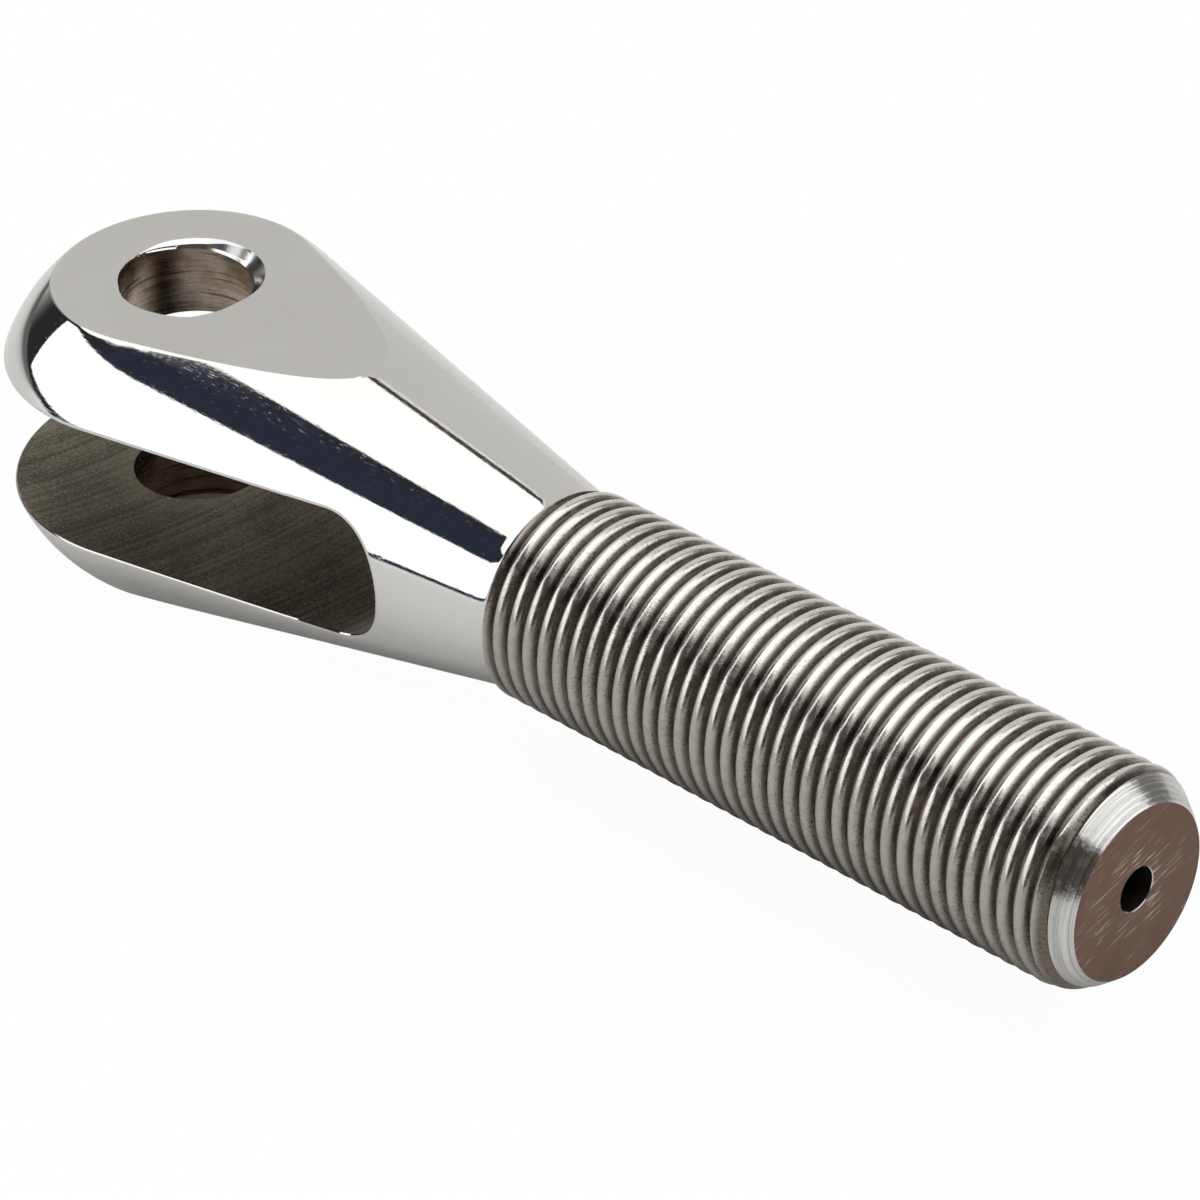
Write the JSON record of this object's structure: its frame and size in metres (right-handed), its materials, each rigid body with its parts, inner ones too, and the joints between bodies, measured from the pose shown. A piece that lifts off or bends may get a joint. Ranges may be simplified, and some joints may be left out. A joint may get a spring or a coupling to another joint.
{
  "type": "clevis rod end",
  "caption": "Threaded rod end: a ball-shaped fork head with a cross hole for a clevis pin, a tapered neck and a round threaded shank with a chamfered end.",
  "frame": {"origin": "where the clevis pin's axis crosses the shank's axis, in the middle of the fork", "axes": "+X along the shank, from the fork to the threaded end; +Z along the clevis pin, through both ears; +Y to the side"},
  "size_m": [0.102, 0.0268, 0.0216],
  "materials": {
    "stainless_steel": "stainless steel: the head polished bright with fine brush lines, the slot and the holes as cut, the thread rolled"
  },
  "bodies": {
    "root": {"clevis_rod_end": "stainless_steel"}
  },
  "joints": []
}
